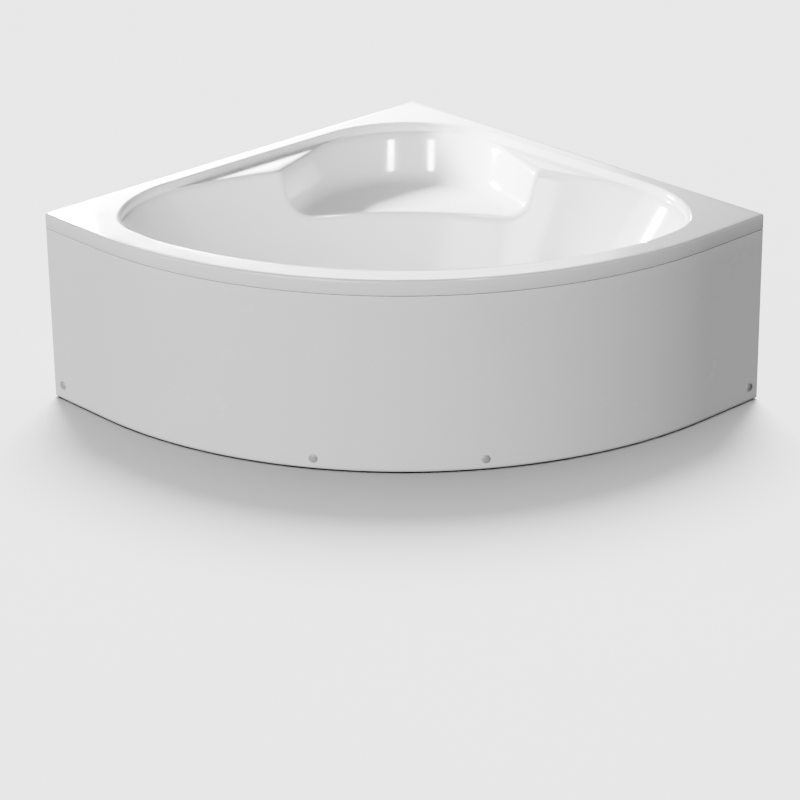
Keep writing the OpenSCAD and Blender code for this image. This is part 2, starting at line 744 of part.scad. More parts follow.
module waste_body() {
  neck_z = ring_z - guide_low;
  top_z = under_z - body_seal_t;
  color("gainsboro") placed() at_waste() difference() {
    union() {
      translate([0, 0, cup_z]) cylinder(h = top_z - cup_z, r = cup_r);
      translate([0, 0, top_z - body_flange_t]) cylinder(h = body_flange_t, r = waste_r - 3);
      translate([0, 0, outlet_z]) rotate([-90, 0, 0]) cylinder(h = socket_end, r = outlet_socket[0]);
      translate([0, 0, inlet_z]) rotate([90, 0, 0]) cylinder(h = socket_end, r = inlet_socket[0]);
      translate([0, cable_end_y - waste_y, lever_z]) rotate([0, 90, 0])
        cylinder(h = cup_r + boss_out, r = boss_r);
    }
    translate([0, 0, neck_z]) cylinder(h = 2 * hub_length, r = hub_r + hole_play);
    translate([0, 0, cup_z + cup_wall]) cylinder(h = neck_z - cup_z - cup_wall + 0.01, r = cup_bore_r);
    translate([0, 0, outlet_z]) rotate([-90, 0, 0]) cylinder(h = socket_end + 1, r = outlet_socket[1]);
    translate([0, 0, inlet_z]) rotate([90, 0, 0]) cylinder(h = socket_end + 1, r = inlet_socket[1]);
    translate([0, lever_y, lever_z]) rotate([0, 90, 0]) translate([0, 0, -cup_r - boss_out])
      cylinder(h = 2 * (cup_r + boss_out), r = pin_r + pin_play[0]);
  }
}
module waste_plug() {
  color("silver") placed() at_waste() {
    rotate_extrude() polygon([
      [0, plug_z], [plug_r - 1, plug_z], [plug_r, plug_z + 1], [plug_r - 0.6, plug_z + 2.4],
      [plug_r - 3, plug_z + 3.6], [plug_r - 12, plug_z + 4.2], [0, plug_z + 4.4]]);
    translate([0, 0, stem_z]) cylinder(h = plug_z - stem_z, r = stem_r);
  }
}
module lift_lever() {
  color("gainsboro") placed() at_waste() translate([0, lever_y, lever_z]) difference() {
    union() {
      translate([-lever_w / 2, -lever_back, -lever_t / 2]) cube([lever_w, lever_length, lever_t]);
      rotate([0, 90, 0]) translate([0, 0, -lever_w / 2]) cylinder(h = lever_w, r = lever_boss_r);
    }
    rotate([0, 90, 0]) translate([0, 0, -lever_w]) cylinder(h = 2 * lever_w, r = pin_r + pin_play[1]);
  }
}
module lever_pin() {
  color("silver") placed() at_waste() translate([-pin_reach, lever_y, lever_z]) rotate([0, 90, 0])
    cylinder(h = 2 * pin_reach, r = pin_r);
}

// Overflow: body behind the wall, seal, face plate and the knob that pulls the cable
wall_face = 0.9;
seal_back = -shell_t - 0.3;
body_face = seal_back - body_seal_t;
body_flange_r = 33;
body_neck_t = 4;
body_r = 27;
body_bore_r = 23.5;
hub_tube_r = 18.9;
plate_tube_end = body_face - 6;
plate_tube_bore = 14.5;
plate_t_mid = 3;
plate_edge = [2.5, 1];
vent_at = 8.6;
vent_size = [5, 4, 10];
spindle_r = 7;
knob_r = 25;
knob_z = 5;
knob_h = 17;
dents = 10;
dent_r = 5.5;
dent_out = 1;
body_cup_z = -36;
body_floor_t = 3;
cam_z = body_cup_z + 4;
cam_h = 5;
cam_r = 12;
body_mid = -24;
spout_y = overflow_y + body_mid * cos(overflow_slope);
spout_z = overflow_z + body_mid * sin(overflow_slope);
spout_end = 420;
spout_socket = 23;
pipe_in = 20;
pipe_r = 16;
pipe_bore = 13.5;
pipe_bend = 60;

module overflow_seal() {
  color("dimgray") placed() at_overflow() ring(body_flange_r, overflow_bore_r + 1, body_face, seal_back);
}
module overflow_body() {
  color("gainsboro") placed() difference() {
    union() {
      at_overflow() translate([0, 0, body_face - body_neck_t]) cylinder(h = body_neck_t, r = body_flange_r);
      at_overflow() translate([0, 0, body_cup_z]) cylinder(h = body_face - body_cup_z, r = body_r);
      translate([0, spout_y, spout_end]) cylinder(h = spout_z - spout_end, r = inlet_socket[0]);
      translate([0, spout_y, spout_z]) rotate([0, 90, 0]) cylinder(h = body_flange_r, r = boss_r);
    }
    at_overflow() translate([0, 0, body_cup_z + body_floor_t])
      cylinder(h = body_face - body_neck_t - body_cup_z - body_floor_t, r = body_bore_r);
    at_overflow() translate([0, 0, body_face - body_neck_t - 1])
      cylinder(h = body_neck_t + bore_reach, r = hub_tube_r + hole_play);
    translate([0, spout_y, spout_end - 1]) cylinder(h = spout_socket + 1, r = inlet_socket[1]);
    translate([0, spout_y, spout_end]) cylinder(h = spout_z - spout_end, r = pipe_bore);
  }
}
module overflow_plate() {
  color("silver") placed() at_overflow() {
    difference() {
      union() {
        rotate_extrude() polygon([
          [spindle_r + hole_play, wall_face], [overflow_r, wall_face],
          [overflow_r, wall_face + plate_edge.y], [overflow_r - plate_edge.x, wall_face + plate_t_mid],
          [spindle_r + hole_play, wall_face + plate_t_mid]]);
        ring(hub_tube_r, plate_tube_bore, plate_tube_end, wall_face);
      }
      for (i = [0 : 5]) rotate([0, 0, 60 * i]) translate([vent_at, -vent_size.y / 2, 0]) cube(vent_size);
    }
  }
}
module overflow_knob() {
  color("silver") placed() at_overflow() difference() {
    union() {
      translate([0, 0, cam_z + cam_h]) cylinder(h = knob_z - cam_z - cam_h, r = spindle_r);
      translate([0, 0, cam_z]) cylinder(h = cam_h, r = cam_r);
      rotate_extrude() polygon([
        [0, knob_z], [knob_r - 3, knob_z], [knob_r, knob_z + 3], [knob_r - 1, knob_z + 12],
        [knob_r - 4, knob_z + knob_h - 1.5], [knob_r - 8, knob_z + knob_h], [0, knob_z + knob_h]]);
    }
    for (i = [1 : dents]) rotate([0, 0, 360 * i / dents])
      translate([knob_r + dent_out, 0, knob_z + knob_h / 2]) sphere(dent_r, $fn = 32);
  }
}
module bend(centre_r, outer, inner, turn) {
  rotate([90, 0, 90]) rotate_extrude(angle = turn) translate([centre_r, 0]) difference() {
    circle(outer);
    circle(inner);
  }
}
module overflow_pipe() {
  low = inlet_z + pipe_bend;
  color("gainsboro") placed() {
    translate([0, spout_y, 0]) ring(pipe_r, pipe_bore, low, spout_end + pipe_in);
    translate([0, spout_y + pipe_bend, low]) rotate([180, 0, 0]) bend(pipe_bend, pipe_r, pipe_bore, 90);
    translate([0, spout_y + pipe_bend, inlet_z]) rotate([-90, 0, 0])
      ring(pipe_r, pipe_bore, 0, waste_y - cup_r - 1 - spout_y - pipe_bend);
  }
}

// Cable from the knob's cup to the lever's cup
cable_route = [
  [body_flange_r, spout_y, spout_z], [46, spout_y, spout_z], [66, spout_y + 2, 456], [78, -1484, 420],
  [82, -1470, 350], [84, -1455, 280], [84, -1440, 210], [82, -1415, 150], [76, -1370, 108],
  [66, -1325, 90], [54, cable_end_y, lever_z], [cup_r + boss_out, cable_end_y, lever_z]];
cable_sides = 8;
cable_steps = 2;
function between(p0, p1, p2, p3, t) = 0.5 * (2 * p1 + (p2 - p0) * t
  + (2 * p0 - 5 * p1 + 4 * p2 - p3) * t * t + (3 * p1 - p0 - 3 * p2 + p3) * t * t * t);
function unit(v) = v / norm(v);
module pull_cable() {
  last = len(cable_route) - 1;
  path = concat(
    [for (i = [0 : last - 1]) for (s = [0 : cable_steps - 1]) between(
      cable_route[max(0, i - 1)], cable_route[i], cable_route[i + 1], cable_route[min(last, i + 2)],
      s / cable_steps)],
    [cable_route[last]]);
  m = len(path);
  rings = [for (i = [0 : m - 1]) let (
    d = i == 0 ? [1, 0, 0] : i == m - 1 ? [-1, 0, 0] : unit(path[i + 1] - path[i - 1]),
    u = unit(cross(d, [0.3, 1, 0])), v = cross(d, u))
    for (k = [0 : cable_sides - 1]) path[i] + cable_r * (u * cos(360 * k / cable_sides)
      + v * sin(360 * k / cable_sides))];
  skins = [for (i = [0 : m - 2]) for (k = [0 : cable_sides - 1]) let (
    j = (k + 1) % cable_sides, a = i * cable_sides)
    each [[a + k, a + cable_sides + k, a + cable_sides + j], [a + k, a + cable_sides + j, a + j]]];
  ends = [
    [for (k = [0 : cable_sides - 1]) k],
    [for (k = [cable_sides - 1 : -1 : 0]) (m - 1) * cable_sides + k]];
  color("dimgray") placed() polyhedron(rings, concat(skins, ends), convexity = 4);
}

// Trap and outlet
trap_r = 18;
trap_bore = 15.5;
trap_bend = 25;
trap_start = waste_y + socket_end - 14;
trap_turn = waste_y + 63;
trap_neck = [8, 12];
trap_shoulder = 14;
trap_out = trap_turn + 4 * trap_bend;
trap_socket = [23, 19.05];
trap_end = trap_out + trap_shoulder + 20;
run_r = 19;
run_bore = 17;
outlet_end = -560;
spigot_length = 60;
clip_y = -680;
clip_length = 18;
clip_wall = 2;
slip_over = 12;
slip_lip = 6;
slip_wall = 5;

module slip_nut(socket_r, tube_r) {
  difference() {
    translate([0, 0, -slip_over]) cylinder(h = slip_over + slip_lip, r = socket_r + slip_wall, $fn = 8);
    translate([0, 0, -slip_over - 1]) cylinder(h = slip_over + 1, r = socket_r + hole_play);
    translate([0, 0, -1]) cylinder(h = slip_lip + 2, r = tube_r + hole_play);
  }
}
module slip_nuts() {
  color("whitesmoke") placed() {
    translate([0, spout_y, spout_end]) rotate([180, 0, 22.5]) slip_nut(inlet_socket[0], pipe_r);
    translate([0, waste_y - socket_end, inlet_z]) rotate([90, 22.5, 0]) slip_nut(inlet_socket[0], pipe_r);
    translate([0, waste_y + socket_end, outlet_z]) rotate([-90, 22.5, 0])
      slip_nut(outlet_socket[0], trap_r);
    translate([0, trap_end, outlet_z]) rotate([-90, 22.5, 0]) slip_nut(trap_socket[0], run_r);
  }
}
module trap_body() {
  low = outlet_z - trap_bend;
  color("gainsboro") placed() {
    translate([0, trap_start, outlet_z]) rotate([-90, 0, 0])
      ring(trap_r, trap_bore, 0, trap_turn - trap_start);
    translate([0, trap_turn, low]) bend(trap_bend, trap_r, trap_bore, 90);
    translate([0, trap_turn + 2 * trap_bend, low]) rotate([180, 0, 0])
      bend(trap_bend, trap_r, trap_bore, 180);
    translate([0, trap_out, low]) rotate([90, 0, 0]) bend(trap_bend, trap_r, trap_bore, 90);
    translate([0, trap_out, outlet_z]) rotate([-90, 0, 0]) {
      ring(trap_r, trap_bore, 0, trap_neck[1]);
      ring(trap_socket[0], trap_bore, trap_neck[0], trap_shoulder);
      ring(trap_socket[0], trap_socket[1], trap_shoulder, trap_end - trap_out);
    }
  }
}
module outlet_pipe() {
  start = trap_out + trap_shoulder + 0.5;
  color("whitesmoke") placed() translate([0, start, outlet_z]) rotate([-90, 0, 0]) {
    length = outlet_end - start;
    ring(run_r, run_bore, 0, length - spigot_length);
    ring(outlet_r, run_bore, length - spigot_length, length);
  }
}
module pipe_clip() {
  arm_h = rail_top - tube_w - outlet_z;
  color("silver") placed() translate([0, clip_y, outlet_z]) rotate([-90, 0, 0]) {
    ring(run_r + clip_wall, run_r + hole_play, 0, clip_length);
    translate([-clip_length / 2, -arm_h, 0]) difference() {
      cube([clip_length, arm_h, clip_length]);
      translate([clip_length / 2, arm_h, -1]) cylinder(h = clip_length + 2, r = run_r + hole_play);
    }
  }
}

tub_shell();
base_board();
rim_batten_left();
rim_batten_right();
rim_batten_front();
corner_pads();
seat_pad();
seat_prop();
frame_cross_rail();
frame_rear_arm();
frame_front_arms();
post_back();
post_left();
post_right();
posts_front();
legs_centre();
foot_nuts();
foot_lock_nuts();
foot_stud_back();
foot_pad_back();
foot_stud_left();
foot_pad_left();
foot_stud_right();
foot_pad_right();
foot_stud_front_left();
foot_pad_front_left();
foot_stud_front_right();
foot_pad_front_right();
foot_stud_centre_left();
foot_pad_centre_left();
foot_stud_centre_right();
foot_pad_centre_right();
wall_bracket_left();
wall_bracket_right();
bracket_screws();
front_panel();
panel_clips();
panel_brackets();
panel_screws();
screw_caps();
waste_flange();
waste_seal_top();
waste_seal_bottom();
waste_body();
waste_plug();
lift_lever();
lever_pin();
overflow_body();
overflow_seal();
overflow_plate();
overflow_knob();
overflow_pipe();
pull_cable();
slip_nuts();
trap_body();
outlet_pipe();
pipe_clip();
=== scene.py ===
"""Looks of the corner bathtub: glossy white acrylic on a steel frame. Sizes are in metres."""
import json
import math

import bpy
import numpy as np
from mathutils import Matrix, Vector


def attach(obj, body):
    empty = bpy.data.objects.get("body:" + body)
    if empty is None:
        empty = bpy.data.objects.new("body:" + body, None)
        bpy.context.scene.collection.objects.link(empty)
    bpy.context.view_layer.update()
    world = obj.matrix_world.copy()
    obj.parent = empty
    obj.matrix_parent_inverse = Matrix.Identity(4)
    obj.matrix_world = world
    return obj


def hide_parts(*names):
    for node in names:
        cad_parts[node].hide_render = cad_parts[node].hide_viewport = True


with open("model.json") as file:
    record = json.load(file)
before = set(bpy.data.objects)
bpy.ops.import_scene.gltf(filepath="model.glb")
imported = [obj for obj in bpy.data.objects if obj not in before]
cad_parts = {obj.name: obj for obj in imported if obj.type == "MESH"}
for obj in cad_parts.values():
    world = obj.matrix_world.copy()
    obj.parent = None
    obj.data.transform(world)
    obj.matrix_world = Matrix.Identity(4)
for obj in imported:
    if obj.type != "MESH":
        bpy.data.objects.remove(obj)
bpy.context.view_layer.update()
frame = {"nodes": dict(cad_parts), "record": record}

# Outline and shell. Plan places are measured from the sharp corner of the room, so y is negative.
WALL_SIDE = 1.5
CORNER_STRAIGHT = 0.25
TUB_HEIGHT = 0.59
LIP_HEIGHT = 0.045
CORNER_RADIUS = 0.010
SHELL_T = 0.005
BASIN_DEPTH = 0.44
SEAT_DEPTH = 0.155
BACK_STEP = 0.022
FRONT_STEP = 0.008
STEP_RUN = 0.014
DECK_W = 0.046
BASIN_ARC = 1.2
HALF_W = WALL_SIDE / math.sqrt(2)
FRONT_R = WALL_SIDE - CORNER_STRAIGHT
FRONT_C = -CORNER_STRAIGHT * math.sqrt(2)
HUB_Y = -HALF_W
CORNER_Y = (FRONT_R - FRONT_C + CORNER_RADIUS * (math.sqrt(2) - 1)) / 2
HALF_ROOT = math.sqrt(0.5)
WALL_N = (HALF_ROOT, HALF_ROOT)
END_N = (HALF_ROOT, -HALF_ROOT)

# Opening of the deck
LOOP_TOP = -0.217
LOOP_END_X = 0.842
LOOP_END_Y = -1.073
LOOP_SHOULDER_R = 0.4
LOOP_FRONT = -1.556
LOOP_FRONT_R = 1.067
LOOP_TOP_R = (-LOOP_TOP - DECK_W * math.sqrt(2)) / (math.sqrt(2) - 1)
LOOP_TOP_C = (0, LOOP_TOP - LOOP_TOP_R)
LOOP_FRONT_C = (0, LOOP_FRONT + LOOP_FRONT_R)
LOOP_SHOULDER_C = (LOOP_END_X - LOOP_SHOULDER_R, LOOP_END_Y)
LOOP_DROP = LOOP_FRONT_C[1] - LOOP_END_Y
LOOP_END_R = (LOOP_FRONT_R ** 2 - LOOP_END_X ** 2 - LOOP_DROP ** 2) / (2 * (LOOP_FRONT_R - LOOP_END_X))
LOOP_END_C = (LOOP_END_X - LOOP_END_R, LOOP_END_Y)

# Basin, floor and seat recess
BASIN_BACK = -0.565
BASIN_FRONT = -1.493
FLOOR_HALF_X = 0.56
FLOOR_HALF_Y = 0.315
FLOOR_Y = -1.07
FLOOR_Z = TUB_HEIGHT - BASIN_DEPTH
FLOOR_ROUND = 0.110
FLOOR_ROUND_FRONT = 0.066
SEAT_Z = TUB_HEIGHT - SEAT_DEPTH
LEG_ANGLE = math.radians(25)
ARCH_TOP = -0.231
ARCH_R = 0.324
SEAT_TOP = -0.357
SEAT_R = 0.320
SEAT_ROUND = 0.095

# Rounds and blends
EDGE_ROUND = 0.007
DECK_ROUND = 0.004
RIM_ROUND = 0.005
BLEND = 0.020
PAST_EDGE = 0.003
PAST_SLOPE = 4
MOUTH_SIN = 0.3
FRONT_SIN = 0.6
MOST_LEAN = 4

# Waste and overflow
WASTE_Y = -1.285
WASTE_BORE_R = 0.026
OVERFLOW_Z = 0.480
OVERFLOW_BORE_R = 0.020
OVERFLOW_SLOPE = math.atan((FLOOR_Y - FLOOR_HALF_Y - BASIN_FRONT) / (BASIN_DEPTH - FRONT_STEP))
OVERFLOW_Y = BASIN_FRONT + (TUB_HEIGHT - FRONT_STEP - OVERFLOW_Z) * math.tan(OVERFLOW_SLOPE)

# Panel
PANEL_T = 0.004
PANEL_INSET = 0.0026
PANEL_LOW = 0.004
LIP_GAP = 0.002
PANEL_TOP = TUB_HEIGHT - LIP_HEIGHT - LIP_GAP
PANEL_END_GAP = 0.003
TOP_RETURN = 0.020
FOOT_RETURN = 0.012
PANEL_EDGE_ROUND = 0.0016
SCREW_Z = 0.034
END_SCREW_Z = 0.048
MIDDLE_SCREW_X = 0.248
END_SCREW_U = 0.042
SCREW_R = 0.0024
SCREW_ROOM = 0.0002
CAP_R = 0.013
CAP_H = 0.0045
CAP_EDGE_H = 0.0011
CAP_ROOM_R = 0.0054
CAP_ROOM_H = 0.003

# Meshes: degrees between the shell's rays, stations along the front, and reach of a cutting rod
RAY_STEP = 0.5
CORNER_RAY_STEP = 0.06
CORNER_RAY_REACH = 0.72
STRAIGHT_STATIONS = 12
BOW_STATIONS = 181
CUT_IN = 0.02
CUT_OUT = 0.01

# Edges that bend by more than this stay sharp
SHARP = math.radians(35)
SHELL_SHARP = math.radians(60)
CAD_SHARP = math.radians(30)

# Limits that keep the formulas away from a division by zero
LEAST_FACING = 0.001
NO_HIT = 100.0
LEAST_RUN = 0.01
LEAST_R = 0.01


def clamp(v, low, high):
    return np.minimum(np.maximum(v, low), high)


def ease(v):
    t = clamp(v, 0, 1)
    return t * t * (3 - 2 * t)


def soft_min(a, b, k):
    """Lower of two heights, with a round of width k where they cross."""
    h = np.maximum(k - np.abs(a - b), 0) / k
    return np.minimum(a, b) - h * h * k / 4


def folded(a):
    """Angle seen from the hub, mirrored onto the right half of the tub."""
    return np.arcsin(np.sin(a))


def angle_of(x, y):
    return math.atan2(y - HUB_Y, x)


def to_circle(a, centre, r):
    """Distance from the hub along angle a to the far side of a circle."""
    qx, qy = centre[0], centre[1] - HUB_Y
    b = qx * np.cos(a) + qy * np.sin(a)
    return b + np.sqrt(np.maximum(0, r * r - qx * qx - qy * qy + b * b))


def to_line(a, normal, h):
    """Distance from the hub along angle a to a line, which stands h from the hub along its normal."""
    k = normal[0] * np.cos(a) + normal[1] * np.sin(a)
    return np.where(k > LEAST_FACING, h / np.maximum(k, LEAST_FACING), NO_HIT)


def outline(a, d=0.0):
    """Edge of the deck, set in by d, with its three plan corners rounded."""
    m = folded(a)
    h = WALL_SIDE / 2 - d
    end_hit = to_line(m, END_N, h)
    bow_hit = to_circle(m, (0, FRONT_C), FRONT_R - d)
    straight = end_hit * np.cos(m) > (FRONT_R - d) * HALF_ROOT
    sharp = np.minimum(to_line(m, WALL_N, h), np.where(straight, end_hit, bow_hit))
    r = max(0.0, CORNER_RADIUS - d)
    far = (h - r) * math.sqrt(2)
    reach = math.atan2(r * HALF_ROOT, far + r * HALF_ROOT)
    side_round = to_circle(m, (far, HUB_Y), r)
    room_round = to_circle(m, (0, HUB_Y + far), r)
    sharp = np.where(np.abs(m) < reach, side_round, sharp)
    return np.where(np.abs(math.pi / 2 - m) < reach, room_round, sharp)


def opening(a, d=0.0):
    """Edge of the deck's opening, set in by d: arcs and one straight along each wall."""
    m = folded(a)
    tangent = np.array([-LOOP_END_C[0], LOOP_FRONT_C[1] - LOOP_END_C[1]])
    front_dir = -tangent / np.linalg.norm(tangent)
    front_x = (LOOP_FRONT_R - d) * front_dir[0]
    front_y = LOOP_FRONT_C[1] + (LOOP_FRONT_R - d) * front_dir[1]
    side_y = LOOP_SHOULDER_C[1] + (LOOP_SHOULDER_R - d) * HALF_ROOT
    side_x = LOOP_SHOULDER_C[0] + (LOOP_SHOULDER_R - d) * HALF_ROOT
    top_x = (LOOP_TOP_R - d) * HALF_ROOT
    top_y = LOOP_TOP_C[1] + (LOOP_TOP_R - d) * HALF_ROOT
    return np.select(
        [m < angle_of(front_x, front_y), m < angle_of(LOOP_END_X - d, LOOP_END_Y),
         m < angle_of(side_x, side_y), m < angle_of(top_x, top_y)],
        [to_circle(m, LOOP_FRONT_C, LOOP_FRONT_R - d), to_circle(m, LOOP_END_C, LOOP_END_R - d),
         to_circle(m, LOOP_SHOULDER_C, LOOP_SHOULDER_R - d),
         to_line(m, WALL_N, -HUB_Y * HALF_ROOT - DECK_W - d)],
        to_circle(m, LOOP_TOP_C, LOOP_TOP_R - d))


def basin_edge(a):
    """Edge of the basin: a back arc and a front arc, kept inside the foot of the step."""
    back = to_circle(a, (0, BASIN_BACK - BASIN_ARC), BASIN_ARC)
    front = to_circle(a, (0, BASIN_FRONT + BASIN_ARC), BASIN_ARC)
    return np.minimum(np.minimum(back, front), opening(a, STEP_RUN))


def floor_edge(a):
    """Edge of the basin's flat floor, an ellipse."""
    ux, uy = np.cos(a) / FLOOR_HALF_X, np.sin(a) / FLOOR_HALF_Y
    w = (HUB_Y - FLOOR_Y) / FLOOR_HALF_Y
    b, u2 = uy * w, ux * ux + uy * uy
    return (-b + np.sqrt(b * b - u2 * (w * w - 1))) / u2


def arch(a, top, r):
    """Edge of the seat recess: an arch on legs that spread."""
    m = folded(a)
    normal = (math.cos(LEG_ANGLE), math.sin(LEG_ANGLE))
    turn = (r * normal[0], top - r + r * normal[1])
    leg_h = turn[0] * normal[0] + (turn[1] - HUB_Y) * normal[1]
    return np.where(m < angle_of(*turn), to_line(m, normal, leg_h), to_circle(m, (0, top - r), r))


def step_at(a):
    """Height of the step from the ledge up to the deck, higher at the back."""
    return FRONT_STEP + (BACK_STEP - FRONT_STEP) * ease((np.sin(a) + MOUTH_SIN) / (2 * MOUTH_SIN))


def ledge_z(a):
    return TUB_HEIGHT - step_at(a)


def rise_start(edge, slope, round_r):
    """Where the round of a rise begins, and in rise_stop where it ends."""
    return edge - round_r * np.tan(np.arctan(slope) / 2)


def rise_stop(edge, slope, round_r):
    return rise_start(edge, slope, round_r) + round_r * np.sin(np.arctan(slope))


def rise(r, edge, z, slope, round_r):
    """Height over a flat that turns up through a round into a straight slope."""
    start = rise_start(edge, slope, round_r)
    past = clamp(r - start, 0, round_r * np.sin(np.arctan(slope)))
    curved = z + round_r - np.sqrt(np.maximum(0, round_r ** 2 - past ** 2))
    return np.where(r > rise_stop(edge, slope, round_r), z + (r - edge) * slope, curved)


def beyond(r, edge):
    """Steep extra height past an edge, so that soft_min takes the next surface there."""
    return PAST_SLOPE * np.maximum(0, r - edge - PAST_EDGE)


def bowl_slope(a):
    return (ledge_z(a) - FLOOR_Z) / (basin_edge(a) - floor_edge(a))


def bowl_round(a):
    share = ease((-np.sin(a) - FRONT_SIN) / (1 - FRONT_SIN))
    return FLOOR_ROUND + (FLOOR_ROUND_FRONT - FLOOR_ROUND) * share


def height_at(a, r):
    """Height of the shell's upper side: basin, seat recess, ledge, step and deck in one."""
    ledge = ledge_z(a)
    bowl = rise(r, floor_edge(a), FLOOR_Z, bowl_slope(a), bowl_round(a)) + beyond(r, basin_edge(a))
    seat_edge, arch_edge = arch(a, SEAT_TOP, SEAT_R), arch(a, ARCH_TOP, ARCH_R)
    recess_slope = (ledge - SEAT_Z) / np.maximum(arch_edge - seat_edge, LEAST_RUN)
    recess = rise(r, seat_edge, SEAT_Z, recess_slope, SEAT_ROUND) + beyond(r, arch_edge)
    inside = np.where(np.sin(a) > MOUTH_SIN, soft_min(bowl, recess, BLEND), bowl)
    step_slope = step_at(a) / STEP_RUN
    rim = rise(r, opening(a, STEP_RUN), ledge, step_slope, RIM_ROUND)
    return soft_min(inside, soft_min(rim, TUB_HEIGHT, DECK_ROUND * step_slope), BLEND)


def drop_at(a, r):
    """Vertical thickness that gives the shell its true thickness on a lean."""
    probe_r, probe_turn = 2e-4, 3e-4
    here = height_at(a, r)
    along = (height_at(a, r + probe_r) - here) / probe_r
    across = (height_at(a + probe_turn, r) - here) / (np.maximum(r, LEAST_R) * probe_turn)
    return SHELL_T * np.minimum(MOST_LEAN, np.sqrt(1 + along ** 2 + across ** 2))


def shell_angles():
    """Rays all round, close together at the three plan corners."""
    right = list(np.radians(np.arange(-90, 90, RAY_STEP)))
    near = np.arange(CORNER_RAY_STEP, CORNER_RAY_REACH, CORNER_RAY_STEP)
    for corner in (0.0, math.pi / 2):
        right += [corner + s * math.radians(t) for s in (-1, 1) for t in near]
    right = sorted({round(a, 6) for a in right if -math.pi / 2 < a < math.pi / 2})
    left = [math.pi - a for a in reversed(right)]
    return np.array([-math.pi / 2] + right + [math.pi / 2] + left)


def shell_radii(a):
    """Radii of the rings on every ray, closest where the surface bends. One row for each ray.

    The small numbers, in metres, are how far a bend's rings reach to each side of it, or the least
    distance that keeps two bends apart. counts has the rings from each stop to the next.
    """
    slope, turn_r = bowl_slope(a), bowl_round(a)
    base = floor_edge(a)
    nose = base + (SEAT_Z - FLOOR_Z) / slope
    in_mouth = np.sin(a) > MOUTH_SIN
    seat_edge = np.where(in_mouth, arch(a, SEAT_TOP, SEAT_R), 0)
    arch_edge = np.where(in_mouth, arch(a, ARCH_TOP, ARCH_R), 0)
    recess_slope = (ledge_z(a) - SEAT_Z) / np.maximum(arch_edge - seat_edge, LEAST_RUN)
    seat_start = np.maximum(rise_start(seat_edge, recess_slope, SEAT_ROUND), nose + 0.020)
    seat_stop = np.maximum(rise_stop(seat_edge, recess_slope, SEAT_ROUND), seat_start + 0.006)
    top_edge = np.maximum(np.maximum(basin_edge(a), arch_edge), seat_stop + 0.008)
    loop = np.maximum(opening(a, STEP_RUN), top_edge + 0.005)
    deck = np.maximum(opening(a), loop + 0.006)
    stops = [np.zeros_like(a), rise_start(base, slope, turn_r), rise_stop(base, slope, turn_r),
             nose - 0.014, nose + 0.014, seat_start, seat_stop, top_edge - 0.007, top_edge + 0.004,
             loop - 0.003, loop + 0.004, deck - 0.004, deck + 0.005, outline(a, EDGE_ROUND)]
    counts = [6, 12, 12, 9, 5, 10, 10, 8, 3, 6, 4, 8, 5]
    rows = []
    for low, high, count in zip(stops, stops[1:], counts):
        high = np.maximum(high, low + 0.0005)
        rows += [low + (high - low) * (i / count) for i in range(count)]
    return np.array(rows[1:] + [stops[-1]]).T


def mesh_object(name, points, faces, smooth_angle=SHARP):
    """Object from points and faces, smooth but for edges sharper than smooth_angle."""
    mesh = bpy.data.meshes.new(name)
    mesh.from_pydata([tuple(p) for p in points], [], [tuple(int(i) for i in f) for f in faces])
    mesh.validate()
    mesh.shade_smooth()
    mesh.set_sharp_from_angle(angle=smooth_angle)
    made = bpy.data.objects.new(name, mesh)
    bpy.context.scene.collection.objects.link(made)
    return made


def ring_faces(count, first, second):
    """Quads between two closed rings of count points that start at these indices."""
    i = np.arange(count)
    j = (i + 1) % count
    return np.stack([first + i, second + i, second + j, first + j], 1)


def cut_with(target, cutter):
    """Takes the cutter out of the target's mesh and removes the cutter."""
    cut = target.modifiers.new("cut", "BOOLEAN")
    cut.operation = "DIFFERENCE"
    cut.solver = "EXACT"
    cut.object = cutter
    graph = bpy.context.evaluated_depsgraph_get()
    cut_mesh = bpy.data.meshes.new_from_object(target.evaluated_get(graph))
    target.modifiers.clear()
    target.data = cut_mesh
    bpy.data.objects.remove(cutter)


def rod(name, matrix, r, low, high, sides=64):
    """Closed straight rod along Z of the matrix, for cutting holes."""
    turn = np.arange(sides) * (2 * math.pi / sides)
    ring = [(r * math.cos(t), r * math.sin(t)) for t in turn]
    points = [matrix @ Vector((x, y, z)) for z in (low, high) for x, y in ring]
    faces = [list(reversed(range(sides))), list(range(sides, 2 * sides))]
    faces += [[i, (i + 1) % sides, sides + (i + 1) % sides, sides + i] for i in range(sides)]
    return mesh_object(name, points, faces)


def lathe(name, matrices, profile, sides=96, smooth_angle=SHARP):
    """Solids of revolution about Z of each matrix, in one mesh. The profile runs from axis to axis."""
    points, faces = [], []
    turn = np.arange(sides) * (2 * math.pi / sides)
    for matrix in matrices:
        previous = None
        for r, z in profile:
            if r < 1e-6:
                points.append(matrix @ Vector((0, 0, z)))
                here = (len(points) - 1, 1)
            else:
                start = len(points)
                points += [matrix @ Vector((r * math.cos(t), r * math.sin(t), z)) for t in turn]
                here = (start, sides)
            if previous is not None:
                a, b = previous, here
                for i in range(sides):
                    j = (i + 1) % sides
                    if a[1] == 1:
                        faces.append((a[0], b[0] + j, b[0] + i))
                    elif b[1] == 1:
                        faces.append((a[0] + i, a[0] + j, b[0]))
                    else:
                        faces.append((a[0] + i, a[0] + j, b[0] + j, b[0] + i))
            previous = here
    return mesh_object(name, points, faces, smooth_angle)


def plan_matrix(x, y, z=0.0, turn=0.0, lean=0.0):
    """Place measured from the room's corner, in the frame of the model."""
    place = Matrix.Translation((x, y + CORNER_Y, z))
    return place @ Matrix.Rotation(turn, 4, "Z") @ Matrix.Rotation(lean, 4, "X")


def overflow_matrix():
    return plan_matrix(0, OVERFLOW_Y, OVERFLOW_Z, 0, OVERFLOW_SLOPE - math.pi / 2)


def waste_matrix():
    return plan_matrix(0, WASTE_Y)


